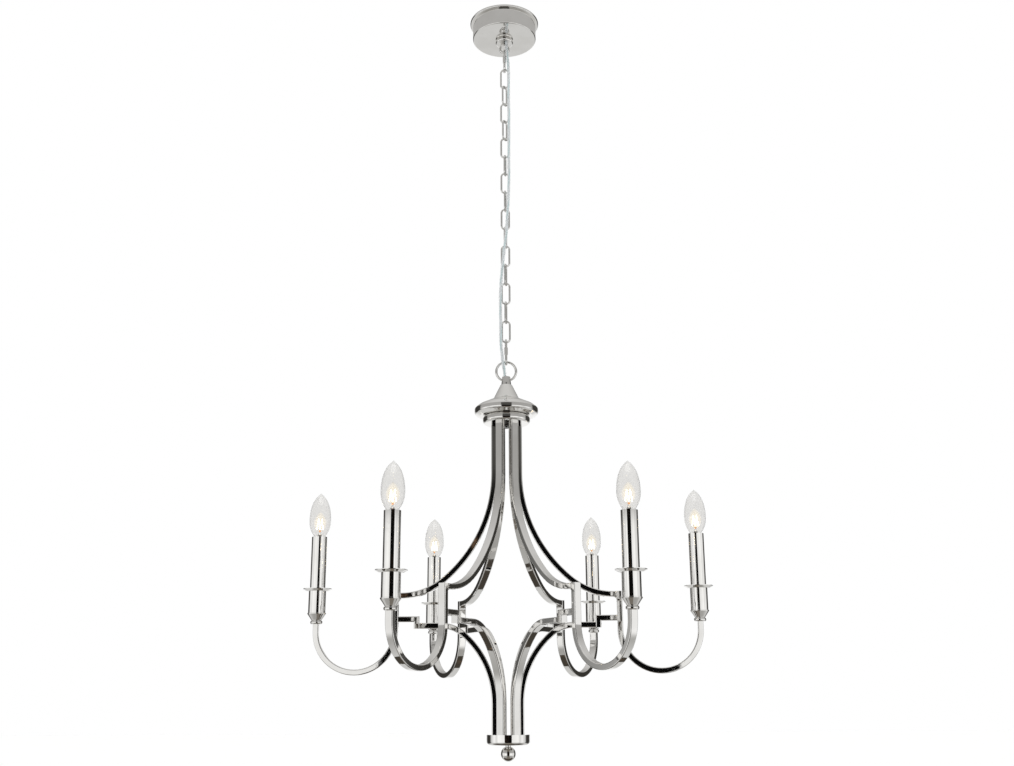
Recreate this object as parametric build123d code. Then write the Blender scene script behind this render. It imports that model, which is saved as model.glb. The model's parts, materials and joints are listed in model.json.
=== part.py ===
from build123d import *
import math
import os

# Six-arm candle chandelier that hangs on a chain. Millimetres, +Z up.
# The origin is the centre of the ceiling face, and everything hangs below it.

# --- General -----------------------------------------------------------------
# Where each arm is set round the hub. Even spacing would be 60 degrees.
ARM_TURNS = (-2.9, 59.2, 116.4, 179.9, 238.1, 304.6)
ARM_COUNT = len(ARM_TURNS)
HANG_GAP = 0.10          # play where one hanging piece bears on the next
SEAT_GAP = 0.02          # gap between pieces that are screwed or welded together
OVERRUN = 1.0            # how far a cutting shape runs past what it cuts

# --- Ceiling bracket, a cranked steel strap ----------------------------------
STRAP_WIDTH = 24.0
STRAP_THICKNESS = 2.0
STRAP_HALF_LENGTH = 52.0
STRAP_FLAT_START = 27.0  # where each end flat begins
STRAP_BRIDGE_HALF = 20.0
STRAP_DROP = 12.0        # how far the middle of the strap stands off the ceiling
SLOT_SPACING = 78.0
SLOT_LENGTH = 16.0
SLOT_WIDTH = 5.0

# --- Canopy ------------------------------------------------------------------
CANOPY_RADIUS = 58.0
CANOPY_DEPTH = 36.0
CANOPY_WALL = 1.2
CANOPY_EDGE_RADIUS = 2.0
CANOPY_HOLE_RADIUS = 14.0
RIM_RADIUS = 63.0
RIM_HEIGHT = 5.2
RIM_EDGE_RADIUS = 2.2

# --- Threaded stem, its nuts, the collar and the loop --------------------------
STEM_RADIUS = 5.0
STEM_BORE_RADIUS = 3.3
STEM_TOP = -5.0
NUT_ACROSS_FLATS = 14.0
NUT_HEIGHT = 5.0
COLLAR_RADIUS = 16.0
COLLAR_HEIGHT = 8.0
COLLAR_EDGE_RADIUS = 2.6
LOOP_BOSS_RADIUS = 7.5
LOOP_BOSS_HEIGHT = 7.0
LOOP_BOSS_EDGE = 1.2
LOOP_WIRE = 4.0
LOOP_OUTER_WIDTH = 19.5
LOOP_SINK = 0.5          # how far the top of the loop lies under the top of its boss
STEM_IN_LOOP = 3.5

# --- Inside the canopy ---------------------------------------------------------
GRIP_SIZE = (14.0, 7.0)
GRIP_Y = -10.7
BLOCK_SIZE = (10.0, 30.0, 12.0)
BLOCK_X = -14.5
BLOCK_POLES = 3
BLOCK_HOLE_RADIUS = 1.6
MOULDED_EDGE_RADIUS = 1.0

# --- Chain ---------------------------------------------------------------------
QUICK_WIRE = 4.0
QUICK_INNER_LENGTH = 39.0
QUICK_OUTER_WIDTH = 15.5
SLEEVE_RADIUS = 3.5
SLEEVE_LENGTH = 13.0
SLEEVE_SLIT = 5.0        # opening in the link that the sleeve nut closes
LINK_WIRE = 3.1
LINK_INNER_LENGTH = 35.0
LINK_OUTER_WIDTH = 16.5
# How far each link is turned about the vertical, from the top of the chain down
LINK_TURNS = (-10, 58, -10, 60, -6, 82, 10, 84, 8, 78, 6, 80, 4, 82, 6)
QUICK_TURN = 90.0
RING_OUTER = 37.5
RING_WIRE = 4.0

# --- Hub -------------------------------------------------------------------------
# Heights are measured down from the top of the neck.
NECK_TOP_RADIUS = 6.75
NECK_BASE_RADIUS = 8.5
NECK_HEIGHT = 15.0
NECK_EDGE_RADIUS = 0.8
NECK_HOLE_RADIUS = 3.3
NECK_HOLE_DOWN = 6.3     # neck top to the centre of the cross hole
POCKET_DEPTH = 3.2       # flex pocket in the top of the neck
ROD_IN_NECK = 4.2
GRUB_RADIUS = 1.5
GRUB_DOWN = 12.7
GRUB_LENGTH = 2.2
GRUB_SOCKET_AF = 1.5
CONE_TOP_RADIUS = 9.9
CONE_BASE_RADIUS = 21.9
CONE_BASE_DOWN = 39.4
SHOULDER_RADIUS = 46.0
SHOULDER_DOWN = 50.4
FLANGE_RADIUS = 53.5
FLANGE_TOP_DOWN = 56.5
FLANGE_BASE_DOWN = 65.5
CAP_UNDER_RADIUS = 44.5  # where the underside of the flange meets the foot
CAP_FOOT_RADIUS = 36.5
CAP_HEIGHT = 69.4
CAP_WALL = 2.0
CONE_BEND_RADIUS = 9.0
FLANGE_EDGE_RADIUS = 4.0
DISC_RADIUS = 39.5
DISC_HEIGHT = 13.2
DISC_EDGE_RADIUS = 4.6
DISC_RECESS = 3.0
LEAD_HOLE_RADIUS = 3.0
ROD_PAST_NUT = 2.0

# --- Arms ------------------------------------------------------------------------
TUBE_RADIAL = 9.0
TUBE_ACROSS = 12.5
TUBE_WALL = 1.2
TUBE_EDGE_RADIUS = 1.5
ROOT_RADIUS = 21.0       # axis of the hub to the arm's centre line
POST_RADIUS = 180.0
CANDLE_RADIUS = 307.0
POST_TOP_DOWN = 362.4    # neck top to the top of the posts
SWEEP_DROP = 200.0       # height taken up by the curve of an upper arm
SWEEP_BEND = 50.0        # share of the quarter turn made by the larger arc, in degrees
WEB_RADIUS = 5.0         # weld fillet under the arm at the post
BOWL_BELOW_POST = 61.0   # post top to the centre of the arm's half circle
BEAD_BELOW_POST = 49.0   # post top to the foot of the bead ring
STRUT_BELOW_POST = 42.0  # post top to the strut's centre line
STEP_INNER_RADIUS = 141.0
STEP_WIDTH = 9.0
STEP_HEIGHT = 10.5
LOWER_BEND_RADIUS = 106.0
LOWER_DROP = 121.0
LOWER_LENGTH = 167.4     # height from the lower arm's centre line to the bottom plate
PLATE_RADIUS = 34.0
PLATE_HEIGHT = 15.6
PLATE_EDGE_RADIUS = 5.5
PLATE_RECESS = 3.0
BALL_RADIUS = 11.65
BALL_NECK_RADIUS = 4.2
BALL_NECK_HEIGHT = 2.4
BALL_SINK = 1.0          # how far the neck runs into the ball
STUD_RADIUS = 3.0
STUD_LENGTH = 10.0
STUD_END_GAP = 1.0

# --- Candles ------------------------------------------------------------------------
BEAD_RADIUS = 9.75
BEAD_HEIGHT = 6.2
BEAD_FLAT = 0.5          # straight band round the middle of the bead
CANDLE_STEM_RADIUS = 3.2
CANDLE_STEM_BORE = 2.0
CANDLE_STEM_IN_ARM = 7.0
CONE_FOOT_RADIUS = 8.0
CONE_LIP_RADIUS = 15.0
CONE_HEIGHT = 11.6
LIP_HEIGHT = 1.6
LIP_EDGE_RADIUS = 0.4
CUP_RADIUS = 14.0
CUP_HEIGHT = 34.4
CUP_WALL = 1.4
PAN_RADIUS = 23.25
PAN_FLAT_RADIUS = 16.5
PAN_RISE = 4.2
PAN_THICKNESS = 0.8
PAN_BEND_RADIUS = 5.8
CANDLE_RADIUS_OUTER = 12.5
CANDLE_WALL = 0.9
CANDLE_HEIGHT = 87.0
HOLDER_RADIUS = 11.2
HOLDER_BORE_RADIUS = 7.3
HOLDER_HEIGHT = 30.0
HOLDER_FLOOR = 4.0
HOLDER_BELOW_MOUTH = 4.0
HOLDER_POST_RADIUS = 5.2
BULB_CAP_RADIUS = 6.95
BULB_CAP_LENGTH = 24.5
BULB_CAP_TOP = 1.0       # above the top of the lampholder
BULB_CONTACT_RADIUS = 3.0
BULB_CONTACT_HEIGHT = 1.4
GLASS_WALL = 0.8
GLASS_NECK_RADIUS = 6.9
GLASS_WIDEST_RADIUS = 17.5
GLASS_WIDEST_UP = 29.0
GLASS_HEIGHT = 75.0
GLASS_NECK_SLOPE = (0.50, 0.87)
GLASS_TIP_SLOPE = (-0.82, 0.57)

# --- Flex lead -----------------------------------------------------------------------
FLEX_DIAMETER = 5.5
FLEX_GAP = 0.25
FLEX_BEND_SHARE = 0.45   # of the shorter run beside each corner
FLEX_ROUTE = (
    (3.4, -10.2, -29.0),
    (3.4, -10.2, -56.0),
    (7.9, -7.8, -96.0),
    (6.9, -7.4, -146.0),
    (7.8, -7.2, -204.0),
    (6.8, -7.4, -264.0),
    (7.0, -8.0, -324.0),
    (4.6, -10.6, -378.0),
    (1.4, -12.8, -430.0),
    (-5.4, -11.4, -484.0),
    (-9.6, -7.4, -538.0),
    (-8.8, -6.6, -588.0),
    (-9.2, -7.8, -620.0),
    (-6.9, -7.7, -647.0),
    (-5.1, -5.1, -665.5),
    (-2.4, -1.9, -677.0),
    (-2.4, -1.9, -688.4),
)

# --- Heights that follow from the sizes above -------------------------------------------
strap_face = -STRAP_DROP - STRAP_THICKNESS - SEAT_GAP
canopy_face = -CANOPY_DEPTH
collar_face = canopy_face - COLLAR_HEIGHT
loop_radius = (LOOP_OUTER_WIDTH - LOOP_WIRE) / 2
loop_centre = collar_face - LOOP_SINK - LOOP_OUTER_WIDTH / 2
loop_bearing = loop_centre - loop_radius


def crown_above(upper_wire, lower_wire):
    """Height of a hanging piece's top wire over the wire that it hangs on."""
    return (upper_wire + lower_wire) / 2 + HANG_GAP


def hang_stack():
    """Centres and bearing points of the chain's pieces, from the loop down."""
    stack = []
    bearing = loop_bearing
    wire = LOOP_WIRE
    kinds = [("top_quick_link", QUICK_WIRE, QUICK_INNER_LENGTH, QUICK_TURN)]
    for number, turn in enumerate(LINK_TURNS, 1):
        kinds.append((f"chain_link_{number:02d}", LINK_WIRE, LINK_INNER_LENGTH, turn))
    kinds.append(("bottom_quick_link", QUICK_WIRE, QUICK_INNER_LENGTH, QUICK_TURN))
    for name, own_wire, inner, turn in kinds:
        top = bearing + crown_above(wire, own_wire)
        bottom = top - inner - own_wire
        stack.append((name, (top + bottom) / 2, turn))
        bearing = bottom
        wire = own_wire
    return stack, bearing


chain_stack, ring_bearing = hang_stack()
ring_radius = (RING_OUTER - RING_WIRE) / 2
ring_centre = ring_bearing + crown_above(QUICK_WIRE, RING_WIRE) - ring_radius


def neck_hole_height():
    """Centre of the neck's cross hole, whose ends bear on the curve of the ring."""
    neck = NECK_TOP_RADIUS + (NECK_BASE_RADIUS - NECK_TOP_RADIUS) * NECK_HOLE_DOWN / NECK_HEIGHT
    inner = ring_radius - RING_WIRE / 2
    wire_top = ring_centre - math.sqrt(inner**2 - neck**2)
    return wire_top + 2 * HANG_GAP - NECK_HOLE_RADIUS


neck_hole = neck_hole_height()
hub_top = neck_hole + NECK_HOLE_DOWN
cap_foot = hub_top - CAP_HEIGHT
disc_face = cap_foot - DISC_HEIGHT
post_top = hub_top - POST_TOP_DOWN
bowl_centre = post_top - BOWL_BELOW_POST
bowl_radius = (CANDLE_RADIUS - POST_RADIUS) / 2
bead_foot = post_top - BEAD_BELOW_POST
strut_height = post_top - STRUT_BELOW_POST
lower_height = strut_height - STEP_HEIGHT
plate_top = lower_height - LOWER_LENGTH
plate_face = plate_top - PLATE_HEIGHT
cup_foot = bead_foot + BEAD_HEIGHT
cup_top = cup_foot + CONE_HEIGHT + CUP_HEIGHT
candle_foot = cup_top + PAN_THICKNESS
candle_top = candle_foot + CANDLE_HEIGHT
holder_top = candle_top - HOLDER_BELOW_MOUTH
glass_foot = holder_top + BULB_CAP_TOP


# --- Helpers ------------------------------------------------------------------------------
def save(shape, name):
    """Writes one named piece."""
    export_step(shape, f"parts/{name}.step")


def turned(points, radii=None):
    """A solid turned about Z from (radius, height) corners, with some corners rounded."""
    outline = Polyline(*points, close=True)
    face = make_face(outline)
    for corner, radius in (radii or {}).items():
        near = face.vertices().sort_by_distance((points[corner][0], points[corner][1], 0))
        face = fillet(near[0], radius)
    return revolve(Plane.XZ * face, Axis.Z)


def drilled(radius, low, high, x=0.0, y=0.0):
    """A round rod between two heights, used as a drill as well as a piece."""
    return Pos(x, y, (low + high) / 2) * Cylinder(radius, high - low)


def around(piece):
    """Copies of a piece that lies on +X, one on each arm."""
    return Compound([Rot(0, 0, turn) * piece for turn in ARM_TURNS])


def round_copies(piece):
    """Copies of a candle's piece, built on the Z axis, moved out to every arm."""
    return around(Pos(CANDLE_RADIUS, 0, 0) * piece)


def half_ring(radius, wire, height, upwards):
    """Half of a round-wire ring in the XZ plane."""
    start = Pos(radius, 0, height) * Circle(wire / 2)
    turn = Axis((0, 0, height), (0, -1 if upwards else 1, 0))
    return revolve(start, turn, 180)


def oval_link(wire, inner_length, outer_width):
    """A straight-sided oval link in the XZ plane, centred on the origin."""
    radius = (outer_width - wire) / 2
    side = (inner_length + wire) / 2 - radius
    link = half_ring(radius, wire, side, True) + half_ring(radius, wire, -side, False)
    for x in (-radius, radius):
        link += drilled(wire / 2, -side, side, x)
    return link


# --- Ceiling plate and canopy -----------------------------------------------------------
def ceiling_bracket():
    """A strap with two flats against the ceiling and a lowered bridge for the stem."""
    middle = STRAP_THICKNESS / 2
    line = Polyline(
        (-STRAP_HALF_LENGTH, -middle),
        (-STRAP_FLAT_START, -middle),
        (-STRAP_BRIDGE_HALF, -middle - STRAP_DROP),
        (STRAP_BRIDGE_HALF, -middle - STRAP_DROP),
        (STRAP_FLAT_START, -middle),
        (STRAP_HALF_LENGTH, -middle),
    )
    side = trace(line, STRAP_THICKNESS)
    strap = extrude(Plane.XZ * side, STRAP_WIDTH / 2, both=True)
    for x in (-SLOT_SPACING / 2, SLOT_SPACING / 2):
        slot = Pos(x, 0, -STRAP_THICKNESS - OVERRUN) * SlotOverall(SLOT_LENGTH, SLOT_WIDTH)
        strap -= extrude(slot, STRAP_THICKNESS + 2 * OVERRUN)
    strap -= drilled(STEM_RADIUS + SEAT_GAP, -STRAP_DROP - 2 * STRAP_THICKNESS, 0)
    return strap


def canopy():
    """A spun cup with a flat face and a rolled rim at the ceiling."""
    cup = turned(
        [
            (CANOPY_HOLE_RADIUS, canopy_face),
            (CANOPY_RADIUS, canopy_face),
            (CANOPY_RADIUS, -RIM_HEIGHT),
            (RIM_RADIUS, -RIM_HEIGHT),
            (RIM_RADIUS, 0),
            (CANOPY_RADIUS - CANOPY_WALL, 0),
            (CANOPY_RADIUS - CANOPY_WALL, canopy_face + CANOPY_WALL),
            (CANOPY_HOLE_RADIUS, canopy_face + CANOPY_WALL),
        ],
        {1: CANOPY_EDGE_RADIUS, 3: RIM_EDGE_RADIUS, 4: RIM_EDGE_RADIUS},
    )
    return cup


def stem_nuts():
    """One nut above the strap's bridge and one below it."""
    above = -STRAP_DROP
    below = -STRAP_DROP - STRAP_THICKNESS - NUT_HEIGHT
    hexagon = RegularPolygon(NUT_ACROSS_FLATS / 2, 6, major_radius=False)
    hexagon -= Circle(STEM_RADIUS + SEAT_GAP)
    return Compound([extrude(Pos(0, 0, z) * hexagon, NUT_HEIGHT) for z in (above, below)])


def canopy_collar():
    """A rounded ring nut that carries the canopy, with a side hole for the flex."""
    collar = turned(
        [
            (STEM_RADIUS + SEAT_GAP, collar_face),
            (COLLAR_RADIUS, collar_face),
            (COLLAR_RADIUS, canopy_face),
            (STEM_RADIUS + SEAT_GAP, canopy_face),
        ],
        {1: COLLAR_EDGE_RADIUS, 2: COLLAR_EDGE_RADIUS},
    )
    x, y, _ = FLEX_ROUTE[0]
    return collar - drilled(FLEX_DIAMETER / 2 + FLEX_GAP, collar_face - OVERRUN, canopy_face + OVERRUN, x, y)


def canopy_loop():
    """A threaded boss with a closed round-wire loop under it."""
    boss_foot = collar_face - LOOP_BOSS_HEIGHT
    boss = turned(
        [
            (0, boss_foot),
            (LOOP_BOSS_RADIUS, boss_foot),
            (LOOP_BOSS_RADIUS, collar_face),
            (0, collar_face),
        ],
        {1: LOOP_BOSS_EDGE},
    )
    loop = Pos(0, 0, loop_centre) * Rot(90, 0, 0) * Torus(loop_radius, LOOP_WIRE / 2)
    above = Pos(0, 0, collar_face + LOOP_OUTER_WIDTH / 2) * Box(*[LOOP_OUTER_WIDTH] * 3)
    stem_end = collar_face - STEM_IN_LOOP - SEAT_GAP
    return boss + (loop - above) - drilled(STEM_RADIUS + SEAT_GAP, stem_end, collar_face)


def terminal_block():
    """Three-pole connector screwed under the strap's bridge, beside the stem."""
    depth, length, height = BLOCK_SIZE
    middle = strap_face - height / 2
    block = Pos(BLOCK_X, 0, middle) * Box(depth, length, height)
    block = fillet(block.edges().filter_by(Axis.Z), MOULDED_EDGE_RADIUS)
    for pole in range(BLOCK_POLES):
        y = (pole - (BLOCK_POLES - 1) / 2) * length / BLOCK_POLES
        hole = Pos(BLOCK_X, y, middle) * Rot(0, 90, 0)
        block -= hole * Cylinder(BLOCK_HOLE_RADIUS, depth + OVERRUN)
    return block


def cord_grip():
    """Strain relief block under the strap that holds the top end of the flex."""
    x, _, flex_top = FLEX_ROUTE[0]
    height = strap_face - flex_top
    block = Pos(x, GRIP_Y, flex_top + height / 2) * Box(*GRIP_SIZE, height)
    return fillet(block.edges().filter_by(Axis.Z), MOULDED_EDGE_RADIUS)


# --- Chain ------------------------------------------------------------------------------
def quick_link():
    """A screw-gate link, open on one side where the sleeve nut bridges the slit."""
    link = oval_link(QUICK_WIRE, QUICK_INNER_LENGTH, QUICK_OUTER_WIDTH)
    side = (QUICK_OUTER_WIDTH - QUICK_WIRE) / 2
    return link - Pos(-side, 0, 0) * Box(2 * QUICK_WIRE, 2 * QUICK_WIRE, SLEEVE_SLIT)


def link_sleeve():
    """The sleeve nut: a hexagonal tube round the wire beside the slit."""
    side = (QUICK_OUTER_WIDTH - QUICK_WIRE) / 2
    section = RegularPolygon(SLEEVE_RADIUS, 6) - Circle(QUICK_WIRE / 2 + SEAT_GAP)
    return Pos(-side, 0, -SLEEVE_LENGTH / 2) * extrude(section, SLEEVE_LENGTH)


def save_chain():
    """Writes every link where it hangs."""
    for name, centre, turn in chain_stack:
        place = Pos(0, 0, centre) * Rot(0, 0, turn)
        if "quick" in name:
            save(place * quick_link(), name)
            save(place * link_sleeve(), name.replace("quick_link", "link_sleeve"))
        else:
            save(place * oval_link(LINK_WIRE, LINK_INNER_LENGTH, LINK_OUTER_WIDTH), name)
    ring = Rot(90, 0, 0) * Torus(ring_radius, RING_WIRE / 2)
    save(Pos(0, 0, ring_centre) * ring, "suspension_ring")


# --- Flex lead ------------------------------------------------------------------------------
def flex_cord():
    """The lead's round tube: straight runs joined by tangent arcs."""
    points = [Vector(*p) for p in FLEX_ROUTE]
    radii = []
    for before, corner, after in zip(points, points[1:], points[2:]):
        turn = math.radians((corner - before).get_angle(after - corner))
        shorter = min((corner - before).length, (after - corner).length)
        radii.append(FLEX_BEND_SHARE * shorter / math.tan(turn / 2))
    path = FilletPolyline(*points, radius=radii)
    section = Plane(points[0], z_dir=points[1] - points[0]) * Circle(FLEX_DIAMETER / 2)
    cord = sweep(section, path=path)
    expected = math.pi * (FLEX_DIAMETER / 2) ** 2 * path.length
    print("flex length", round(path.length, 1), "smallest radius", round(min(radii), 1))
    print("flex radii", [round(r) for r in radii])
    print("flex volume over section times length", round(cord.volume / expected, 4))
    return cord


# --- Hub ----------------------------------------------------------------------------------
def hub_neck():
    """The turned neck that the ring passes through."""
    neck = turned(
        [
            (0, hub_top - NECK_HEIGHT),
            (NECK_BASE_RADIUS, hub_top - NECK_HEIGHT),
            (NECK_TOP_RADIUS, hub_top),
            (0, hub_top),
        ],
        {2: NECK_EDGE_RADIUS},
    )
    across = Pos(0, 0, neck_hole) * Rot(0, 90, 0)
    neck -= across * Cylinder(NECK_HOLE_RADIUS, 4 * NECK_BASE_RADIUS)
    x, y, _ = FLEX_ROUTE[-1]
    neck -= drilled(FLEX_DIAMETER / 2 + FLEX_GAP, hub_top - POCKET_DEPTH, hub_top + OVERRUN, x, y)
    foot = hub_top - NECK_HEIGHT
    neck -= drilled(STEM_RADIUS + SEAT_GAP, foot - OVERRUN, foot + ROD_IN_NECK)
    screw_hole = Pos(0, -NECK_BASE_RADIUS, hub_top - GRUB_DOWN) * Rot(90, 0, 0)
    return neck - screw_hole * Cylinder(GRUB_RADIUS + SEAT_GAP, NECK_BASE_RADIUS)


def neck_grub_screw():
    """The socket grub screw that locks the neck on its rod."""
    inner = STEM_RADIUS + SEAT_GAP
    body = Circle(GRUB_RADIUS)
    socket = RegularPolygon(GRUB_SOCKET_AF / 2, 6, major_radius=False)
    face = Plane((0, -inner, hub_top - GRUB_DOWN), x_dir=(1, 0, 0), z_dir=(0, -1, 0))
    screw = extrude(face * body, GRUB_LENGTH)
    return screw - extrude(face.offset(GRUB_LENGTH / 2) * socket, GRUB_LENGTH)


def hub_cap():
    """The spun cone and flange, hollow and open underneath."""

    def corners(inset):
        top = hub_top - NECK_HEIGHT - inset
        return [
            (0, top),
            (CONE_TOP_RADIUS - inset, top),
            (CONE_BASE_RADIUS - inset, hub_top - CONE_BASE_DOWN - inset),
            (SHOULDER_RADIUS - inset, hub_top - SHOULDER_DOWN - inset),
            (FLANGE_RADIUS - inset, hub_top - FLANGE_TOP_DOWN - inset / 2),
            (FLANGE_RADIUS - inset, hub_top - FLANGE_BASE_DOWN + inset / 2),
            (CAP_UNDER_RADIUS - inset, cap_foot + inset),
            (CAP_FOOT_RADIUS - inset, cap_foot + inset),
        ]

    rounds = {2: CONE_BEND_RADIUS, 3: CONE_BEND_RADIUS, 4: FLANGE_EDGE_RADIUS, 5: FLANGE_EDGE_RADIUS}
    outer = turned(corners(0) + [(0, cap_foot)], rounds)
    below = cap_foot - OVERRUN
    inner = turned(corners(CAP_WALL) + [(CAP_FOOT_RADIUS - CAP_WALL, below), (0, below)], rounds)
    foot = hub_top - NECK_HEIGHT
    return outer - inner - drilled(STEM_RADIUS + SEAT_GAP, foot - 2 * CAP_WALL, foot + OVERRUN)


def tube_blank(low, high, grow=0.0):
    """A short upright stretch of arm tube at the root radius on +X, filled in."""
    size = (TUBE_RADIAL + 2 * grow, TUBE_ACROSS + 2 * grow, high - low)
    return Pos(ROOT_RADIUS, 0, (low + high) / 2) * Box(*size)


def hub_disc():
    """The rounded disc under the cap, with a recess for each upper arm."""
    disc = turned(
        [
            (STEM_RADIUS + SEAT_GAP, disc_face),
            (DISC_RADIUS, disc_face),
            (DISC_RADIUS, cap_foot),
            (STEM_RADIUS + SEAT_GAP, cap_foot),
        ],
        {1: DISC_EDGE_RADIUS, 2: DISC_EDGE_RADIUS},
    )
    for turn in ARM_TURNS:
        place = Rot(0, 0, turn)
        disc -= place * tube_blank(disc_face - OVERRUN, disc_face + DISC_RECESS, SEAT_GAP)
        disc -= place * drilled(LEAD_HOLE_RADIUS, disc_face, cap_foot + OVERRUN, ROOT_RADIUS)
    return disc


def tube_rod(low, high):
    """A length of hollow threaded rod on the Z axis."""
    return drilled(STEM_RADIUS, low, high) - drilled(STEM_BORE_RADIUS, low - OVERRUN, high + OVERRUN)


def hub_nut():
    """The nut that clamps disc, cap and neck together."""
    hexagon = RegularPolygon(NUT_ACROSS_FLATS / 2, 6, major_radius=False)
    hexagon -= Circle(STEM_RADIUS + SEAT_GAP)
    return extrude(Pos(0, 0, disc_face - NUT_HEIGHT) * hexagon, NUT_HEIGHT)


# --- Arms -----------------------------------------------------------------------------------
def sweep_radii(reach, drop, bend):
    """Radii of two tangent arcs that turn a vertical line level over a reach and a drop."""
    c = math.cos(math.radians(bend))
    s = math.sin(math.radians(bend))
    level = (reach - (1 - c) * drop / s) / (c - (1 - c) * (1 - s) / s)
    upright = (drop - (1 - s) * level) / s
    return upright, level


def quarter_sweep(reach, drop, root_height, straight_end, level_length):
    """Centre line in the XZ plane: upright, two tangent arcs outwards, then level.

    A positive drop goes down and out, a negative one up and out."""
    sign = 1 if drop > 0 else -1
    upright, level = sweep_radii(reach, abs(drop), SWEEP_BEND)
    turn = sign * SWEEP_BEND
    start = (ROOT_RADIUS, root_height)
    stem = Line(start, (ROOT_RADIUS, straight_end))
    first = JernArc(stem @ 1, (0, -sign), upright, turn)
    second = JernArc(first @ 1, first % 1, level, sign * 90 - turn)
    end = second @ 1
    flat = Line(end, (end.X + level_length, end.Y))
    return Curve() + [stem, first, second, flat]


def round_sides(bar, thickness):
    """Rounds the edges that run along a flat-sided bar, and leaves its cut ends square."""
    edges = bar.faces().filter_by(Axis.Y).edges()
    return fillet([edge for edge in edges if edge.length > thickness + SEAT_GAP], TUBE_EDGE_RADIUS)


def band(line, thickness, width):
    """A bar of rectangular section along a centre line in the XZ plane."""
    return extrude(Plane.XZ * trace(line, thickness), width / 2, both=True)


def hollow_bar(line):
    """The arm's rectangular tube along a centre line."""
    outside = round_sides(band(line, TUBE_RADIAL, TUBE_ACROSS), TUBE_RADIAL)
    inside = band(line, TUBE_RADIAL - 2 * TUBE_WALL, TUBE_ACROSS - 2 * TUBE_WALL)
    return outside - inside


def upper_sweep():
    """One upper arm, from the hub disc out to the top of its post."""
    level = post_top - TUBE_RADIAL / 2
    end = POST_RADIUS - TUBE_RADIAL / 2
    reach = POST_RADIUS - ROOT_RADIUS - TUBE_RADIAL
    line = quarter_sweep(reach, SWEEP_DROP, disc_face + DISC_RECESS, level + SWEEP_DROP,
                         end - ROOT_RADIUS - reach)
    corner = level - TUBE_RADIAL / 2
    web = Pos(end - WEB_RADIUS / 2, 0, corner - WEB_RADIUS / 2)
    web *= Box(WEB_RADIUS, TUBE_ACROSS - 2 * TUBE_EDGE_RADIUS, WEB_RADIUS)
    hollow = Pos(end - WEB_RADIUS, 0, corner - WEB_RADIUS) * Rot(90, 0, 0)
    web -= hollow * Cylinder(WEB_RADIUS, 2 * TUBE_ACROSS)
    return hollow_bar(line) + web


def candle_arm():
    """One post with the half circle that runs under it and up to the candle."""
    post = Line((POST_RADIUS, post_top), (POST_RADIUS, bowl_centre))
    bowl = JernArc(post @ 1, (0, -1), bowl_radius, 180)
    leg = Line(bowl @ 1, (CANDLE_RADIUS, bead_foot))
    tube = hollow_bar(Curve() + [post, bowl, leg])
    lid = Pos(POST_RADIUS, 0, post_top - TUBE_WALL / 2) * Box(TUBE_RADIAL, TUBE_ACROSS, TUBE_WALL)
    return tube + fillet(lid.edges().filter_by(Axis.Z), TUBE_EDGE_RADIUS)


def arm_strut():
    """One stepped strut that ties a post to its lower arm."""
    end = POST_RADIUS - TUBE_RADIAL / 2
    step = STEP_INNER_RADIUS + STEP_WIDTH
    bar = Pos((STEP_INNER_RADIUS + end) / 2, 0, strut_height)
    bar *= Box(end - STEP_INNER_RADIUS, TUBE_ACROSS, TUBE_RADIAL)
    block = Pos((STEP_INNER_RADIUS + step) / 2, 0, (strut_height + lower_height) / 2)
    block *= Box(STEP_WIDTH, TUBE_ACROSS, STEP_HEIGHT + TUBE_RADIAL)
    return round_sides(bar + block, TUBE_RADIAL)


def lower_sweep():
    """One lower arm, from its strut inwards and down to the bottom plate."""
    reach = LOWER_BEND_RADIUS - ROOT_RADIUS
    line = quarter_sweep(reach, -LOWER_DROP, plate_top - PLATE_RECESS, lower_height - LOWER_DROP,
                         STEP_INNER_RADIUS - LOWER_BEND_RADIUS)
    return hollow_bar(line)


def bottom_plate():
    """The round plate that gathers the lower arms, with its lower edge rounded."""
    plate = turned(
        [
            (0, plate_face),
            (PLATE_RADIUS, plate_face),
            (PLATE_RADIUS, plate_top),
            (0, plate_top),
        ],
        {1: PLATE_EDGE_RADIUS},
    )
    blank = tube_blank(plate_top - PLATE_RECESS, plate_top + OVERRUN, SEAT_GAP)
    for turn in ARM_TURNS:
        plate -= Rot(0, 0, turn) * blank
    return plate - drilled(STUD_RADIUS + SEAT_GAP, plate_face - OVERRUN, plate_face + STUD_LENGTH)


def bottom_finial():
    """The ball finial with its neck and screwed stud."""
    centre = plate_face - BALL_NECK_HEIGHT - BALL_RADIUS + BALL_SINK
    ball = Pos(0, 0, centre) * Sphere(BALL_RADIUS)
    neck = drilled(BALL_NECK_RADIUS, centre, plate_face)
    stud = drilled(STUD_RADIUS, centre, plate_face + STUD_LENGTH - STUD_END_GAP)
    return ball + neck + stud


# --- Candles -----------------------------------------------------------------------------------
def bead_ring():
    """The round bead between an arm and its candle cup."""
    hole = CANDLE_STEM_RADIUS + SEAT_GAP
    edge = (BEAD_HEIGHT - BEAD_FLAT) / 2
    return turned(
        [
            (hole, bead_foot),
            (BEAD_RADIUS, bead_foot),
            (BEAD_RADIUS, cup_foot),
            (hole, cup_foot),
        ],
        {1: edge, 2: edge},
    )


def candle_stem():
    """The hollow screwed stem from the arm to the lampholder."""
    low = bead_foot - CANDLE_STEM_IN_ARM
    high = candle_foot + HOLDER_FLOOR
    return drilled(CANDLE_STEM_RADIUS, low, high) - drilled(CANDLE_STEM_BORE, low, high)


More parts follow.
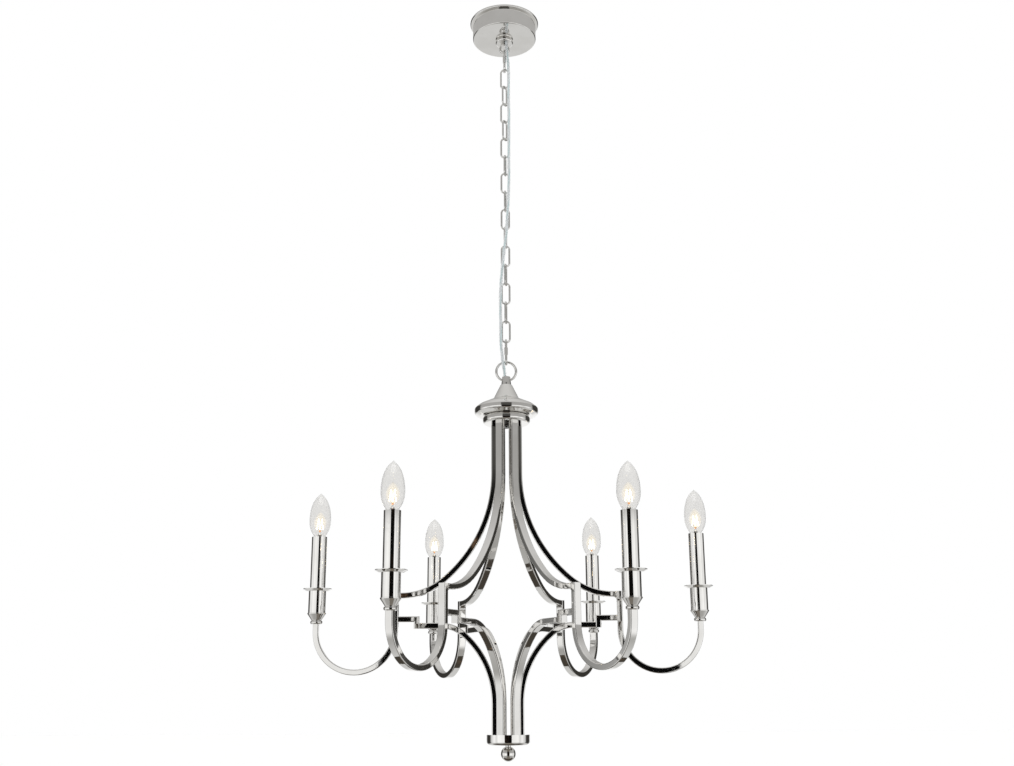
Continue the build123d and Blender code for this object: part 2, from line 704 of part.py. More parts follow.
def candle_cup():
    """The turned cup: a cone that opens to a lip, then straight walls."""
    hole = CANDLE_STEM_RADIUS + SEAT_GAP
    lip = cup_foot + CONE_HEIGHT
    return turned(
        [
            (hole, cup_foot),
            (CONE_FOOT_RADIUS, cup_foot),
            (CONE_LIP_RADIUS, lip - LIP_HEIGHT),
            (CONE_LIP_RADIUS, lip),
            (CUP_RADIUS, lip),
            (CUP_RADIUS, cup_top),
            (CUP_RADIUS - CUP_WALL, cup_top),
            (CUP_RADIUS - CUP_WALL, lip + CUP_WALL),
            (hole, lip + CUP_WALL),
        ],
        {2: LIP_EDGE_RADIUS, 3: LIP_EDGE_RADIUS},
    )


def drip_pan():
    """The shallow dish on top of the cup, with its edge turned up."""
    hole = CANDLE_STEM_RADIUS + SEAT_GAP
    top = cup_top + PAN_THICKNESS
    return turned(
        [
            (hole, cup_top),
            (PAN_FLAT_RADIUS, cup_top),
            (PAN_RADIUS, cup_top + PAN_RISE - PAN_THICKNESS),
            (PAN_RADIUS, cup_top + PAN_RISE),
            (PAN_RADIUS - PAN_THICKNESS, cup_top + PAN_RISE),
            (PAN_FLAT_RADIUS - PAN_THICKNESS / 2, top),
            (hole, top),
        ],
        {1: PAN_BEND_RADIUS, 5: PAN_BEND_RADIUS - PAN_THICKNESS},
    )


def candle_sleeve():
    """The straight metal tube that hides the lampholder."""
    bore = CANDLE_RADIUS_OUTER - CANDLE_WALL
    sleeve = drilled(CANDLE_RADIUS_OUTER, candle_foot, candle_top)
    return sleeve - drilled(bore, candle_foot - OVERRUN, candle_top + OVERRUN)


def lampholder():
    """The small screw lampholder on its post."""
    hole = CANDLE_STEM_RADIUS + SEAT_GAP
    floor = holder_top - HOLDER_HEIGHT
    return turned(
        [
            (hole, candle_foot),
            (HOLDER_POST_RADIUS, candle_foot),
            (HOLDER_POST_RADIUS, floor),
            (HOLDER_RADIUS, floor),
            (HOLDER_RADIUS, holder_top),
            (HOLDER_BORE_RADIUS, holder_top),
            (HOLDER_BORE_RADIUS, floor + HOLDER_FLOOR),
            (0, floor + HOLDER_FLOOR),
            (0, candle_foot + HOLDER_FLOOR + SEAT_GAP),
            (hole, candle_foot + HOLDER_FLOOR + SEAT_GAP),
        ],
        {4: MOULDED_EDGE_RADIUS},
    )


def bulb_cap():
    """The bulb's metal screw cap with its end contact."""
    foot = glass_foot - BULB_CAP_LENGTH
    cap = turned(
        [
            (0, foot),
            (BULB_CONTACT_RADIUS, foot),
            (BULB_CAP_RADIUS, foot + BULB_CONTACT_RADIUS),
            (BULB_CAP_RADIUS, glass_foot),
            (0, glass_foot),
        ],
    )
    return cap + drilled(BULB_CONTACT_RADIUS, foot - BULB_CONTACT_HEIGHT, foot)


def glass_outline(inset):
    """Half of the candle bulb's outline: a short neck, a belly and a pointed tip."""
    neck = GLASS_NECK_RADIUS - inset
    belly = (GLASS_WIDEST_RADIUS - inset, glass_foot + GLASS_WIDEST_UP)
    tip = (0, glass_foot + GLASS_HEIGHT - inset)
    foot = (neck, glass_foot)
    lower = Spline(foot, belly, tangents=[GLASS_NECK_SLOPE, (0, 1)])
    upper = Spline(belly, tip, tangents=[(0, 1), GLASS_TIP_SLOPE])
    axis = Line(tip, (0, glass_foot))
    base = Line((0, glass_foot), foot)
    return make_face(Curve() + [lower, upper, axis, base])


def bulb_glass():
    """The bulb's hollow glass, open where the cap closes it."""
    outer = revolve(Plane.XZ * glass_outline(0), Axis.Z)
    inner = revolve(Plane.XZ * glass_outline(GLASS_WALL), Axis.Z)
    return outer - inner


# --- Writing the pieces -------------------------------------------------------------------------
os.makedirs("parts", exist_ok=True)

save(ceiling_bracket(), "ceiling_bracket")
save(canopy(), "canopy")
save(tube_rod(collar_face - STEM_IN_LOOP, STEM_TOP), "stem_tube")
save(stem_nuts(), "stem_nuts")
save(canopy_collar(), "canopy_collar")
save(canopy_loop(), "canopy_loop")
save(terminal_block(), "terminal_block")
save(cord_grip(), "cord_grip")
save_chain()
save(flex_cord(), "flex_cord")

save(hub_neck(), "hub_neck")
save(neck_grub_screw(), "neck_grub_screw")
save(hub_cap(), "hub_cap")
save(hub_disc(), "hub_disc")
rod_top = hub_top - NECK_HEIGHT + ROD_IN_NECK
save(tube_rod(disc_face - NUT_HEIGHT - ROD_PAST_NUT, rod_top), "hub_rod")
save(hub_nut(), "hub_nut")

save(around(upper_sweep()), "upper_arms")
save(around(candle_arm()), "candle_arms")
save(around(arm_strut()), "arm_struts")
save(around(lower_sweep()), "lower_arms")
save(bottom_plate(), "bottom_plate")
save(bottom_finial(), "bottom_finial")

save(round_copies(bead_ring()), "bead_rings")
save(round_copies(candle_stem()), "candle_stems")
save(round_copies(candle_cup()), "candle_cups")
save(round_copies(drip_pan()), "drip_pans")
save(round_copies(candle_sleeve()), "candle_sleeves")
save(round_copies(lampholder()), "lampholders")
for number, turn in enumerate(ARM_TURNS, 1):
    place = Rot(0, 0, turn) * Pos(CANDLE_RADIUS, 0, 0)
    save(place * bulb_cap(), f"bulb_cap_{number}")
    save(place * bulb_glass(), f"bulb_glass_{number}")
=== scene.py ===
import json
import math
import bpy
from mathutils import Matrix, Vector


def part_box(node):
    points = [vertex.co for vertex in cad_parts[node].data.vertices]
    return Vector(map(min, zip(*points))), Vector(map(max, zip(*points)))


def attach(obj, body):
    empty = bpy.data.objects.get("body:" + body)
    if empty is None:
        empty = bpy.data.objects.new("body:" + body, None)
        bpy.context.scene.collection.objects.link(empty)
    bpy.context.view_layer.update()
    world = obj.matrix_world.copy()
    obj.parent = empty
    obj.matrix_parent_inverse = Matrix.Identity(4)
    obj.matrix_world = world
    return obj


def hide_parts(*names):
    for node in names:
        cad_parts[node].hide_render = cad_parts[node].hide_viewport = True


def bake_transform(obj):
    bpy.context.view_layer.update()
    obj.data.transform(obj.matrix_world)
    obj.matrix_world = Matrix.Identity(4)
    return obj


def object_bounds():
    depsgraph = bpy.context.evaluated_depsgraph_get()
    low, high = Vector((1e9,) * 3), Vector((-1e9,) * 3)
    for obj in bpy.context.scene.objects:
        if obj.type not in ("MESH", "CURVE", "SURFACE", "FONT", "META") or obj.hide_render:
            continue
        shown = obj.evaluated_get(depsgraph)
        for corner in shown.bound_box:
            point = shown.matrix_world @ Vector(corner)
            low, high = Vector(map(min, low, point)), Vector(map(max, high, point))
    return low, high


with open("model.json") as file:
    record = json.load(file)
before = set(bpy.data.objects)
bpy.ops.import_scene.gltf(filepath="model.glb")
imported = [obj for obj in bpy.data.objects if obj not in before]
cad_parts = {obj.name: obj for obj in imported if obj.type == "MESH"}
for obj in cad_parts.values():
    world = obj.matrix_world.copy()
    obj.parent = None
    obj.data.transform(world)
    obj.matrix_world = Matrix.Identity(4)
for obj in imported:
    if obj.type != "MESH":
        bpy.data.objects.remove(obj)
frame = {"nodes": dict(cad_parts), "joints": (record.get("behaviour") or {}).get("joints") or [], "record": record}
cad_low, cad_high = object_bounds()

# Six-arm candle chandelier in polished nickel, hung on a chain. Metres, +Z up.
# The ceiling face is at the origin and everything hangs below it.

MM = 0.001
nodes = frame["nodes"]
bodies = frame["record"]["behaviour"]["bodies"]
slot_of = {part["node"]: part["material_slot"] for part in frame["record"]["subparts"]}

# --- Viewpoint and studio ------------------------------------------------------------
CAMERA_PLACE = (0.0013, -1.875, -1.225)
CAMERA_TILT = 15.75      # degrees above level
CAMERA_ROLL = 0.33
LENS = 40.69             # millimetres on a 36 mm wide sensor
SENSOR = 36.0
FLOOR_DROP = 0.60        # clear height under the finial
FLOOR_HALF = 30.0
FAR_CLIP = 100.0
SOFTBOX_PLACE = (0.0, -1.0, 1.6)
SOFTBOX_AIM = (0.0, 0.0, -1.0)
SOFTBOX_WIDTH = 2.4
SOFTBOX_POWER = 42.0
CARD_Y = -0.92           # the black card between the camera and the lamp
CARD_HALF = 0.31
CARD_HEIGHTS = (-1.88, -0.45)
CARD_FADE = (-0.74, -0.62)  # heights between which the black card turns grey
CARD_SCRAP = (0.16, 0.10, 0.06, 1.0)
LOW_CARDS = (            # name, half width, nearest and furthest y, tone
    ("taupe_card", 0.27, -1.30, -0.14, (0.20, 0.18, 0.155, 1.0)),
    ("brown_card", 0.62, -0.14, 0.40, (0.060, 0.052, 0.042, 1.0)),
)

# Where the walls, the dark pillars and the lower part of the studio blend. Each is the upward
# part of a unit direction, and FRONT_TO_BACK is the part of one that points away from the camera.
WALL_TOP = (0.145, 0.175)
WALL_FOOT = (-0.30, -0.55)
PILLAR_TOP = (0.52, 0.42)
FRONT_TO_BACK = (-0.4, 0.5)

# --- Lead ----------------------------------------------------------------------------
LEAD_DIAMETER = 5.5 * MM
CORE_RADIUS = 0.95 * MM
CORE_CIRCLE = 1.05 * MM  # centre of the lead to the centre of each core
CORE_LAY = 0.060         # length of one full twist of the cores
LEAD_SIDES = 20
LEAD_CORES = 3
BEND_LENGTH = 0.012      # longest reach of the lead on each side of a joint
BEND_SHARE = 0.9         # of the room that the cut ends leave
SAME_HEIGHT = 1e-7
CORE_SIDES = 10
LEAD_ROUTE = (
    (3.4, -10.2, -29.0),
    (3.4, -10.2, -56.0),
    (7.9, -7.8, -96.0),
    (6.9, -7.4, -146.0),
    (7.8, -7.2, -204.0),
    (6.8, -7.4, -264.0),
    (7.0, -8.0, -324.0),
    (4.6, -10.6, -378.0),
    (1.4, -12.8, -430.0),
    (-5.4, -11.4, -484.0),
    (-9.6, -7.4, -538.0),
    (-8.8, -6.6, -588.0),
    (-9.2, -7.8, -620.0),
    (-6.9, -7.7, -647.0),
    (-5.1, -5.1, -665.5),
    (-2.4, -1.9, -677.0),
    (-2.4, -1.9, -688.4),
)

# --- Inside each lamp, heights above the foot of the glass ------------------------------
FLARE = ((5.6, 1.0), (5.0, 3.0), (3.0, 6.5), (1.9, 10.0), (1.6, 15.0), (2.1, 17.0), (1.2, 18.4))
BEAD = ((0.1, 11.2), (1.0, 11.8), (1.35, 13.0), (0.9, 14.3), (0.1, 14.9))
FLARE_SIDES = 24
BEAD_SIDES = 16
WIRE_RADIUS = 0.28 * MM
WIRE_SIDES = 8
WIRE_FOOT = (0.9 * MM, 17.0 * MM)      # out from the middle, and height
WIRE_ELBOW = (3.2 * MM, 16.5 * MM)
SUPPORT_FOOT = 17.5 * MM
SUPPORT_STRAIGHT = 6.0 * MM
SUPPORT_LEAN = 0.3 * MM
FILAMENT_RADIUS = 0.42 * MM
FILAMENT_SIDES = 6
FILAMENT_FOOT = 16.0 * MM
FILAMENT_TOP = 33.0 * MM
FILAMENT_SPREAD = 5.0 * MM
FILAMENT_LEGS = 4
FILAMENT_STAGGER = 0.4 * MM
LEG_STEPS = 14
COIL_RADIUS = 0.35 * MM
COIL_TURN = 2.1          # radians from one point to the next
GLOW_SHELLS = 5
GLOW_STEPS = 12
GLOW_SIDES = 28
GLOW_CORE = (4.0, 20.0, 33.0)          # widest radius, foot and top of the innermost shell
GLOW_GROWTH = (6.0, -8.0, 11.0)        # what the outermost shell adds to each


# --- Shader maths ------------------------------------------------------------------------
class Value:
    """A node socket that takes part in ordinary arithmetic."""

    def __init__(self, shader, socket):
        self.shader = shader
        self.socket = socket

    def maths(self, operation, first, second=0.0):
        return self.shader.add("Math", {"operation": operation}, {0: first, 1: second})

    def __mul__(self, other):
        return self.maths("MULTIPLY", self, other)

    def __rsub__(self, other):
        return self.maths("SUBTRACT", other, self)

    def __truediv__(self, other):
        return self.maths("DIVIDE", self, other)

    def __abs__(self):
        return self.maths("ABSOLUTE", self)

    def part(self, name):
        """Another output of the same node."""
        return Value(self.shader, self.socket.node.outputs[name])


class Shader:
    """The node tree of one material or of the world."""

    def __init__(self, owner):
        owner.use_nodes = True
        self.tree = owner.node_tree
        self.tree.nodes.clear()

    def add(self, kind, settings=None, inputs=None, output=0):
        """Any node: its kind, its settings first, then the values or links of its sockets."""
        node = self.tree.nodes.new("ShaderNode" + kind)
        for name, value in (settings or {}).items():
            if name == "stops":
                self.set_stops(node.color_ramp, value)
            else:
                setattr(node, name, value)
        for name, value in (inputs or {}).items():
            self.join(value, node.inputs[name])
        return Value(self, node.outputs[output]) if len(node.outputs) else node

    def join(self, value, socket):
        if isinstance(value, Value):
            self.tree.links.new(value.socket, socket)
        else:
            socket.default_value = value

    def set_stops(self, ramp, stops):
        while len(ramp.elements) < len(stops):
            ramp.elements.new(0.5)
        for element, (place, colour) in zip(ramp.elements, stops):
            element.position = place
            element.color = (*colour, 1.0)

    def ramp(self, factor, stops):
        return self.add("ValToRGB", {"stops": stops}, {"Fac": factor})

    def span(self, value, low, high, to_low=0.0, to_high=1.0):
        """value from low..high eased to to_low..to_high."""
        return self.add("MapRange", {"interpolation_type": "SMOOTHSTEP"},
                        {0: value, 1: low, 2: high, 3: to_low, 4: to_high})

    def mix(self, factor, first, second):
        return self.add("Mix", {"data_type": "RGBA"}, {0: factor, 6: first, 7: second}, output=2)

    def place(self):
        """Where a point is on the piece, in metres."""
        return self.add("TexCoord", output="Object")

    def height(self):
        """How high a point is, in metres."""
        return self.add("SeparateXYZ", None, {0: self.place()}, output=2)

    def noise(self, scale, detail=2.0, roughness=0.5):
        return self.add("TexNoise", None, {"Vector": self.place(), "Scale": scale,
                                           "Detail": detail, "Roughness": roughness})

    def bump(self, height, strength, distance):
        return self.add("Bump", None, {"Height": height, "Strength": strength, "Distance": distance})


def colour(red, green, blue):
    return (red, green, blue, 1.0)


def finish(name):
    """A new material; returns the shader that its nodes go in, and the material."""
    material = bpy.data.materials.new(name)
    shader = Shader(material)
    return shader, material


def surface(shader, **inputs):
    """Ends a material's tree in a Principled shader; spaces in names are underscores."""
    named = {name.replace("_", " "): value for name, value in inputs.items()}
    bsdf = shader.add("BsdfPrincipled", None, named)
    shader.add("OutputMaterial", None, {"Surface": bsdf})


# --- Finishes ------------------------------------------------------------------------------
def polished_nickel():
    """Mirror plate: a faint warm cast, cloudy polish marks and a slight waviness."""
    shader, material = finish("polished nickel plate")
    cloud = shader.noise(22.0, 4.0, 0.6)
    smear = shader.noise(160.0, 3.0, 0.65)
    wave = shader.noise(38.0, 1.0, 0.4)
    tone = shader.mix(shader.span(cloud, 0.35, 0.65), colour(0.87, 0.86, 0.845), colour(0.82, 0.81, 0.79))
    rough = shader.span(smear, 0.42, 0.72, 0.025, 0.075)
    surface(shader, Base_Color=tone, Metallic=1.0, Roughness=rough,
            Normal=shader.bump(wave, 0.012, 0.0005))
    return material


def zinc_steel():
    """Dull zinc plate with a fine spangle and rolling marks."""
    shader, material = finish("zinc plated steel")
    spangle = shader.add("TexVoronoi", None, {"Vector": shader.place(), "Scale": 900.0})
    grain = shader.noise(420.0, 3.0, 0.6)
    tone = shader.mix(spangle, colour(0.66, 0.66, 0.64), colour(0.50, 0.51, 0.51))
    rough = shader.span(grain, 0.3, 0.7, 0.24, 0.42)
    surface(shader, Base_Color=tone, Metallic=1.0, Roughness=rough,
            Normal=shader.bump(grain, 0.15, 0.0002))
    return material


def lamp_cap_metal():
    """Thin drawn lamp cap: bright, with handling marks."""
    shader, material = finish("lamp cap metal")
    scuff = shader.noise(600.0, 3.0, 0.6)
    tone = shader.mix(scuff, colour(0.80, 0.79, 0.75), colour(0.62, 0.60, 0.56))
    surface(shader, Base_Color=tone, Metallic=1.0, Roughness=shader.span(scuff, 0.3, 0.7, 0.18, 0.34),
            Normal=shader.bump(scuff, 0.1, 0.0001))
    return material


def white_plastic():
    """Moulded connector and lampholder plastic with a fine spark texture."""
    shader, material = finish("white moulded plastic")
    spark = shader.noise(1500.0, 2.0, 0.5)
    tone = shader.mix(shader.noise(40.0), colour(0.80, 0.79, 0.75), colour(0.74, 0.72, 0.67))
    surface(shader, Base_Color=tone, Roughness=shader.span(spark, 0.3, 0.7, 0.38, 0.52),
            Normal=shader.bump(spark, 0.2, 0.00008))
    return material


def clear_glass():
    """Thin blown glass, very slightly grey, with faint drawing lines."""
    shader, material = finish("clear blown glass")
    drawn = shader.noise(55.0, 1.0, 0.3)
    tone = shader.mix(drawn, colour(0.885, 0.88, 0.87), colour(0.855, 0.85, 0.84))
    surface(shader, Base_Color=tone, Roughness=0.0, IOR=1.46, Transmission_Weight=1.0,
            Normal=shader.bump(drawn, 0.003, 0.0003))
    return material


def clear_sheath():
    """Clear soft plastic over the cores of the lead."""
    shader, material = finish("clear lead sheath")
    haze = shader.noise(300.0, 2.0, 0.5)
    tone = shader.mix(haze, colour(0.80, 0.83, 0.84), colour(0.70, 0.73, 0.74))
    surface(shader, Base_Color=tone, Roughness=shader.span(haze, 0.3, 0.7, 0.10, 0.22), Alpha=0.42,
            Normal=shader.bump(haze, 0.06, 0.0002))
    return material


def core_metal(name, bright, dark):
    """Stranded tinned core seen through clear insulation."""
    shader, material = finish(name)
    strand = shader.noise(2200.0, 2.0, 0.5)
    surface(shader, Base_Color=shader.mix(strand, bright, dark), Metallic=0.75,
            Roughness=shader.span(strand, 0.3, 0.7, 0.25, 0.45),
            Normal=shader.bump(strand, 0.25, 0.0001))
    return material


def lit(name, cool, hot, strength, alpha=1.0):
    """A glowing finish whose colour varies a little over the piece: lamp light on the filament, painted glow on
    the lead-in bead and the glow shells.
    """
    shader, material = finish(name)
    heat = shader.noise(350.0, 1.0, 0.4)
    surface(shader, Base_Color=colour(0.0, 0.0, 0.0), Roughness=1.0, Specular_IOR_Level=0.0, Alpha=alpha,
            Emission_Color=shader.mix(heat, cool, hot), Emission_Strength=strength)
    return material


finishes = {
    "polished_nickel": polished_nickel(),
    "zinc_steel": zinc_steel(),
    "lamp_cap": lamp_cap_metal(),
    "white_plastic": white_plastic(),
    "clear_glass": clear_glass(),
    "clear_pvc": clear_sheath(),
}
tinned_core = core_metal("tinned core", colour(0.78, 0.79, 0.80), colour(0.52, 0.54, 0.56))
green_core = core_metal("green tinted core", colour(0.35, 0.62, 0.62), colour(0.20, 0.45, 0.46))
glowing_wire = lit("glowing filament", colour(1.0, 0.72, 0.36), colour(1.0, 0.86, 0.58), 22.0)
# Painted glow: the glass lead-in bead is no lamp, and its orange glow is painted on.
painted_glow_bead = lit("lead-in bead with painted glow", colour(1.0, 0.36, 0.08), colour(1.0, 0.48, 0.16), 1.1)
halo = lit("lamp glow", colour(1.0, 0.90, 0.72), colour(1.0, 0.94, 0.82), 1.15, alpha=0.22)

for name, node in nodes.items():
    node.data.materials.clear()
    node.data.materials.append(finishes[slot_of[name]])


# --- Mesh helpers --------------------------------------------------------------------------
def piece(name, points, faces, materials, material_index=None):
    mesh = bpy.data.meshes.new(name)
    mesh.from_pydata([tuple(point) for point in points], [], faces)
    for material in materials:
        mesh.materials.append(material)
    for polygon in mesh.polygons:
        polygon.use_smooth = True
        polygon.material_index = material_index[polygon.index] if material_index else 0
    mesh.update()
    made = bpy.data.objects.new(name, mesh)
    bpy.context.scene.collection.objects.link(made)
    return made


class Surface:
    """Points and faces gathered from several tubes and turned shapes, made into one mesh."""

    def __init__(self):
        self.points, self.faces, self.index = [], [], []

    def loft(self, rings, material=0, start_cap=False, end_cap=False):
        """Skins a run of closed rings that have the same number of points."""
        base, count = len(self.points), len(rings[0])
        for ring in rings:
            self.points.extend(ring)
        for row in range(len(rings) - 1):
            for side in range(count):
                following = (side + 1) % count
                low, high = base + row * count, base + (row + 1) * count
                self.face((low + side, low + following, high + following, high + side), material)
        if start_cap:
            self.face(tuple(base + side for side in reversed(range(count))), material)
        if end_cap:
            self.face(tuple(base + (len(rings) - 1) * count + side for side in range(count)), material)

    def face(self, corners, material):
        self.faces.append(corners)
        self.index.append(material)

    def tube(self, line, radius, sides, material=0, caps=True):
        frames = upright_frames(line)
        rings = [ring_about(point, across, along, radius, sides)
                 for point, (across, along) in zip(line, frames)]
        self.loft(rings, material, caps, caps)

    def turned(self, outline, centre, sides, material=0):
        """A shape turned about the vertical through centre; outline is (radius, height) in metres."""
        rings = [ring_about(centre + Vector((0, 0, height)), Vector((1, 0, 0)), Vector((0, 1, 0)),
                            radius, sides) for radius, height in outline]
        self.loft(rings, material, True, True)

    def build(self, name, materials):
        return piece(name, self.points, self.faces, materials, self.index)


def ring_about(point, across, along, radius, sides):
    return [point + radius * (math.cos(turn) * across + math.sin(turn) * along)
            for turn in (2 * math.pi * side / sides for side in range(sides))]


def upright_frames(line):
    """A pair of unit vectors square to the line at each point, carried along without twisting."""
    frames = []
    across = None
    for here in range(len(line)):
        ahead = (line[min(here + 1, len(line) - 1)] - line[max(here - 1, 0)]).normalized()
        if across is None:
            across = ahead.orthogonal().normalized()
        across = (across - across.dot(ahead) * ahead).normalized()
        frames.append((across, ahead.cross(across)))
    return frames


# --- Lead ------------------------------------------------------------------------------------
def lead_line():
    """Close points along the smooth line of the lead."""
    curve = bpy.data.curves.new("lead route", "CURVE")
    curve.dimensions = "3D"
    curve.resolution_u = 16
    spline = curve.splines.new("NURBS")
    spline.points.add(len(LEAD_ROUTE) - 1)
    for point, place in zip(spline.points, LEAD_ROUTE):
        point.co = (*(MM * number for number in place), 1.0)
    spline.order_u = 3
    spline.use_endpoint_u = True
    carrier = bpy.data.objects.new("lead route", curve)
    bpy.context.scene.collection.objects.link(carrier)
    bpy.context.view_layer.update()
    mesh = bpy.data.meshes.new_from_object(carrier)
    line = [vertex.co.copy() for vertex in mesh.vertices]
    bpy.data.objects.remove(carrier)
    bpy.data.meshes.remove(mesh)
    bpy.data.curves.remove(curve)
    return line


def cut_line(line, heights):
    """The same line with a point added at each height."""
    full = [line[0]]
    for below in line[1:]:
        above = full[-1]
        for height in heights:
            if below.z < height < above.z:
                full.append(above.lerp(below, (above.z - height) / (above.z - below.z)))
        full.append(below)
    return sorted(full, key=lambda point: -point.z)


def middle_height(body):
    low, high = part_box(bodies[body][0])
    return (low.z + high.z) / 2


def lead_pieces():
    """The lead in lengths that each span one joint of the chain."""
    chain = [joint for joint in frame["joints"] if joint["type"] == "hinge"]
    cuts = [middle_height(joint["child"]) for joint in chain[:-1]]
    line = cut_line(lead_line(), cuts)
    frames = upright_frames(line)
    run = [0.0]
    for here in range(1, len(line)):
        run.append(run[-1] + (line[here] - line[here - 1]).length)
    tops, foots = [line[0].z] + cuts, cuts + [line[-1].z]
    for joint, top, foot in zip(chain, tops, foots):
        rows = [row for row, point in enumerate(line) if foot - SAME_HEIGHT <= point.z <= top + SAME_HEIGHT]
        shape = Surface()
        first, last = joint is chain[0], joint is chain[-1]
        shape.loft([ring_about(line[row], *frames[row], LEAD_DIAMETER / 2, LEAD_SIDES) for row in rows],
                   0, first, last)
        for core in range(LEAD_CORES):
            path = []
            for row in rows:
                across, along = frames[row]
                turn = 2 * math.pi * (core / LEAD_CORES + run[row] / CORE_LAY)
                path.append(line[row] + CORE_CIRCLE * (math.cos(turn) * across + math.sin(turn) * along))
            shape.tube(path, CORE_RADIUS, CORE_SIDES, 1 if core else 2, caps=first or last)
        length = shape.build("lead_" + joint["child"], [finishes["clear_pvc"], tinned_core, green_core])
        bearing = joint["pos_m"][2]
        reach = min(top - bearing, bearing - foot, BEND_LENGTH) * BEND_SHARE
        bearing + reach
        bearing - reach
        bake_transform(length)
        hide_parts("flex_cord")


# --- Lamps ---------------------------------------------------------------------------------
def glow_outline(grow):
    """A flame-like drop, grow from 0 at the core to 1 at the outside."""
    widest, foot, top = (core + grow * growth for core, growth in zip(GLOW_CORE, GLOW_GROWTH))
    rows = []
    for step in range(GLOW_STEPS + 1):
        along = step / GLOW_STEPS
        swell = math.sin(math.pi * along ** 0.85) ** 0.7
        rows.append((max(widest * swell, 0.05) * MM, (foot + (top - foot) * along) * MM))
    return rows


def filament(centre):
    """Fine legs that rise and fall between the two lead-in wires."""
    corners = []
    for leg in range(FILAMENT_LEGS + 1):
        share = leg / FILAMENT_LEGS - 0.5
        height = FILAMENT_TOP if leg % 2 else FILAMENT_FOOT
        corners.append(centre + Vector((2 * share * FILAMENT_SPREAD, FILAMENT_STAGGER * (leg % 2), height)))
    line = []
    for first, second in zip(corners, corners[1:]):
        line.extend(first.lerp(second, step / LEG_STEPS) for step in range(LEG_STEPS))
    line.append(corners[-1])
    coil = []
    for here, point in enumerate(line):
        turn = here * COIL_TURN
        coil.append(point + COIL_RADIUS * Vector((math.cos(turn), math.sin(turn), 0)))
    return coil


def lamp(number):
    body = f"bulb_{number}"
    low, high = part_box(f"bulb_glass_{number}")
    centre = Vector(((low.x + high.x) / 2, (low.y + high.y) / 2, low.z))
    flare = Surface()
    flare.turned([(radius * MM, height * MM) for radius, height in FLARE], centre, FLARE_SIDES)
    stem = flare.build(f"lamp_stem_{number}", [finishes["clear_glass"]])

    wires = Surface()
    for side in (-1, 1):
        foot, elbow = (centre + Vector((side * out, 0, height)) for out, height in (WIRE_FOOT, WIRE_ELBOW))
        tip = centre + Vector((side * FILAMENT_SPREAD, 0, FILAMENT_FOOT))
        wires.tube([foot, foot.lerp(elbow, 0.5), elbow, tip], WIRE_RADIUS, WIRE_SIDES)
    support = centre + Vector((0, 0, SUPPORT_FOOT))
    wires.tube([support, support + Vector((0, 0, SUPPORT_STRAIGHT)),
                centre + Vector((0, SUPPORT_LEAN, FILAMENT_TOP))], WIRE_RADIUS, WIRE_SIDES)
    leads = wires.build(f"lamp_wires_{number}", [finishes["zinc_steel"]])

    hot = Surface()
    hot.tube(filament(centre), FILAMENT_RADIUS, FILAMENT_SIDES, 0)
    # The bead below the filament carries a painted orange glow; only the filament is a lamp.
    hot.turned([(radius * MM, height * MM) for radius, height in BEAD], centre, BEAD_SIDES, 1)
    wire = hot.build(f"lamp_filament_{number}", [glowing_wire, painted_glow_bead])

    glow = Surface()
    for shell in range(GLOW_SHELLS):
        glow.turned(glow_outline(shell / (GLOW_SHELLS - 1)), centre, GLOW_SIDES)
    light = glow.build(f"lamp_glow_{number}", [halo])
    light.visible_shadow = False
    for made in (stem, leads, wire, light):
        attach(made, body)


# --- Studio ---------------------------------------------------------------------------------
def camera():
    data = bpy.data.cameras.new("camera")
    data.lens = LENS
    data.sensor_width = SENSOR
    data.clip_end = FAR_CLIP
    made = bpy.data.objects.new("camera", data)
    turn = Matrix.Rotation(math.radians(90 + CAMERA_TILT), 4, "X")
    roll = Matrix.Rotation(math.radians(-CAMERA_ROLL), 4, "Z")
    made.matrix_world = Matrix.Translation(CAMERA_PLACE) @ turn @ roll
    bpy.context.scene.collection.objects.link(made)
    bpy.context.scene.camera = made


def room():
    """White all round. Polished metal also finds the dark gaps and the grey of a real studio."""
    world = bpy.data.worlds.new("studio")
    bpy.context.scene.world = world
    shader = Shader(world)
    split = shader.add("SeparateXYZ", None, {0: shader.add("TexCoord", output="Generated")})
    x, y, z = split, split.part("Y"), split.part("Z")
    azimuth = abs(shader.add("Math", {"operation": "ARCTAN2"}, {0: x, 1: 0.0 - y})) / math.pi
    walls = shader.ramp(azimuth, [
        (0.000, (0.90, 0.90, 0.89)), (0.120, (0.98, 0.98, 0.97)), (0.300, (1.10, 1.10, 1.09)),
        (0.360, (0.80, 0.80, 0.79)), (0.440, (1.05, 1.05, 1.05)), (0.560, (0.66, 0.66, 0.65)),
        (0.620, (0.04, 0.038, 0.034)), (0.800, (0.04, 0.038, 0.034)), (0.930, (1.0, 1.0, 1.0)),
        (1.000, (1.0, 1.0, 1.0)),
    ])
    upper = shader.ramp(z, [(0.0, (0.44, 0.435, 0.425)), (0.45, (0.40, 0.395, 0.385)),
                            (0.90, (0.68, 0.675, 0.665)), (1.0, (0.72, 0.72, 0.71))])
    pillar = shader.ramp(azimuth, [
        (0.58, (0, 0, 0)), (0.62, (1, 1, 1)), (0.86, (1, 1, 1)), (0.92, (0, 0, 0)),
    ])
    upper = shader.mix(pillar * shader.span(z, *PILLAR_TOP), upper, colour(0.05, 0.048, 0.044))
    lower = shader.mix(shader.span(y, *FRONT_TO_BACK), colour(0.40, 0.395, 0.38), colour(0.66, 0.66, 0.65))
    seen = shader.mix(shader.span(z, *WALL_TOP), walls, upper)
    seen = shader.mix(shader.span(z, *WALL_FOOT), seen, lower)
    ray = shader.add("LightPath", output="Is Glossy Ray")
    mirrored = ray * (1.0 - ray.part("Is Transmission Ray"))
    shader.add("OutputWorld", None, {"Surface": shader.add(
        "Background", None, {"Color": shader.mix(mirrored, colour(1.0, 1.0, 1.0), seen), "Strength": 1.0})})


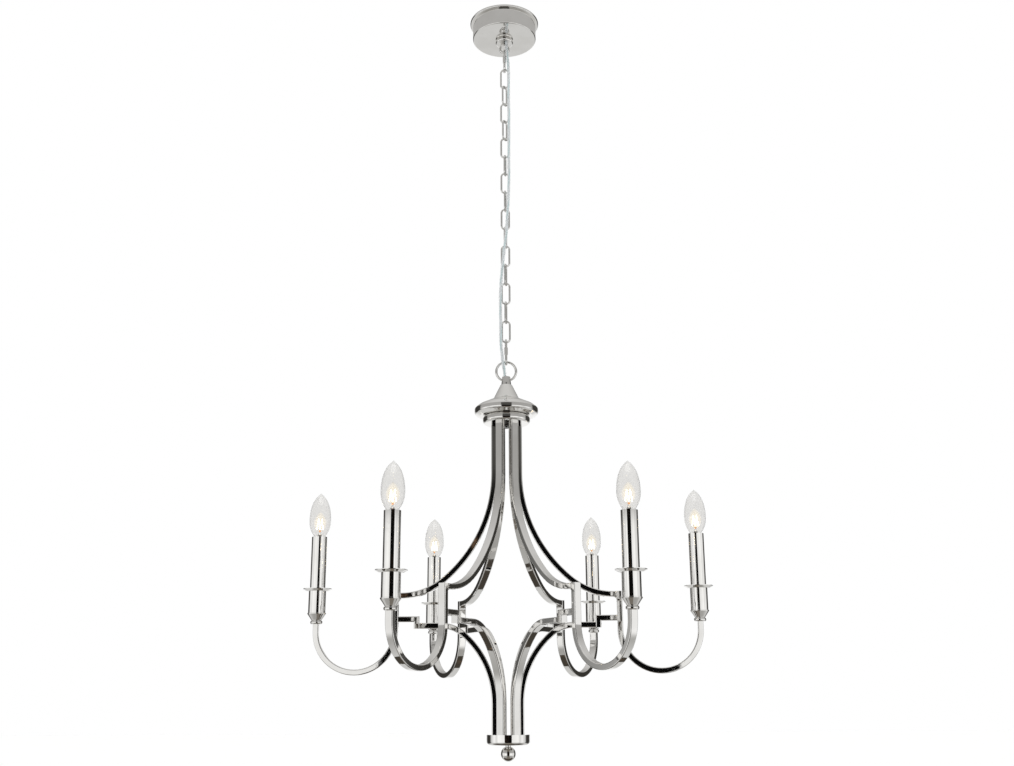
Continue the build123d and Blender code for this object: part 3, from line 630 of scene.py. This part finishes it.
def floor():
    shader, material = finish("pale studio floor")
    grain = shader.noise(3.0, 3.0, 0.5)
    tone = shader.mix(grain, colour(0.96, 0.96, 0.955), colour(0.94, 0.94, 0.935))
    surface(shader, Base_Color=tone, Roughness=0.9, Specular_IOR_Level=0.1,
            Emission_Color=colour(1.0, 1.0, 1.0), Emission_Strength=0.07)
    height = cad_low.z - FLOOR_DROP
    corners = [(-FLOOR_HALF, -FLOOR_HALF, height), (FLOOR_HALF, -FLOOR_HALF, height),
               (FLOOR_HALF, FLOOR_HALF, height), (-FLOOR_HALF, FLOOR_HALF, height)]
    made = piece("studio_floor", corners, [(0, 1, 2, 3)], [material])
    made.visible_glossy = False


def card(name, corners, dark, light, fade):
    """A studio card that only mirror reflections find; its tone fades with height, with warm scraps."""
    shader, material = finish(name)
    scraps = shader.span(shader.noise(14.0, 3.0, 0.6), 0.60, 0.70)
    lift = shader.span(shader.height(), *fade)
    tone = shader.mix(lift, shader.mix(scraps, dark, CARD_SCRAP), light)
    surface(shader, Base_Color=colour(0.0, 0.0, 0.0), Roughness=1.0, Specular_IOR_Level=0.0,
            Emission_Color=tone, Emission_Strength=1.0)
    made = piece(name, corners, [(0, 1, 2, 3)], [material])
    made.visible_camera = False
    made.visible_diffuse = False
    made.visible_transmission = False
    made.visible_shadow = False


def cards():
    """A black card in front of the lamp, and two brown ones that lie under it."""
    x, (low, high) = CARD_HALF, CARD_HEIGHTS
    card("black_card", [(-x, CARD_Y, low), (x, CARD_Y, low), (x, CARD_Y, high), (-x, CARD_Y, high)],
         colour(0.003, 0.003, 0.003), colour(0.075, 0.073, 0.068), CARD_FADE)
    for name, x, near, far, tone in LOW_CARDS:
        card(name, [(-x, near, low), (x, near, low), (x, far, low), (-x, far, low)],
             tone, tone, CARD_FADE)


def soft_light(name, place, aim, width, power):
    data = bpy.data.lights.new(name, "AREA")
    data.size = width
    data.energy = power
    made = bpy.data.objects.new(name, data)
    made.location = place
    made.rotation_euler = (Vector(aim) - Vector(place)).to_track_quat("-Z", "Y").to_euler()
    made.visible_glossy = False
    bpy.context.scene.collection.objects.link(made)


lead_pieces()
for number in range(1, 7):
    lamp(number)
camera()
room()
floor()
cards()
soft_light("overhead_softbox", SOFTBOX_PLACE, SOFTBOX_AIM, SOFTBOX_WIDTH, SOFTBOX_POWER)
bpy.context.scene.view_settings.view_transform = "Standard"
